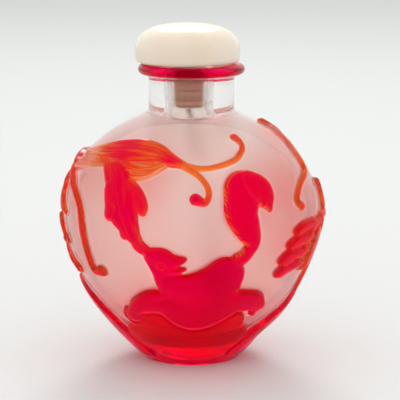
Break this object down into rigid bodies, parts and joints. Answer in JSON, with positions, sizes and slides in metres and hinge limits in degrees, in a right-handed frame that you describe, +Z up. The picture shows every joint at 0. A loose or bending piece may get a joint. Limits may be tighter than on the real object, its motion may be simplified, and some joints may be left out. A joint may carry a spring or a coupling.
{
  "type": "carved overlay glass snuff bottle",
  "caption": "flattened clear glass flask cased in carved red glass with a squirrel, grapevine leaves and tendrils, with a domed stopper and spoon",
  "frame": {"origin": "middle of the foot, on the surface that the bottle stands on", "axes": "+Z up through the mouth, X across the broad faces, -Y the carved front with the squirrel"},
  "size_m": [0.0554, 0.0395, 0.0695],
  "materials": {
    "clear_glass": "polished outside, frosted inside",
    "red_overlay_glass": "carved and polished see-through red",
    "cap_stone": "polished pale milky stone",
    "plug_wood": "turned and ribbed, unvarnished",
    "spoon_brass": "dull worn metal"
  },
  "bodies": {
    "root": {"bottle": "clear_glass", "stopper_cap": "cap_stone", "stopper_plug": "plug_wood", "spoon": "spoon_brass"}
  },
  "joints": []
}
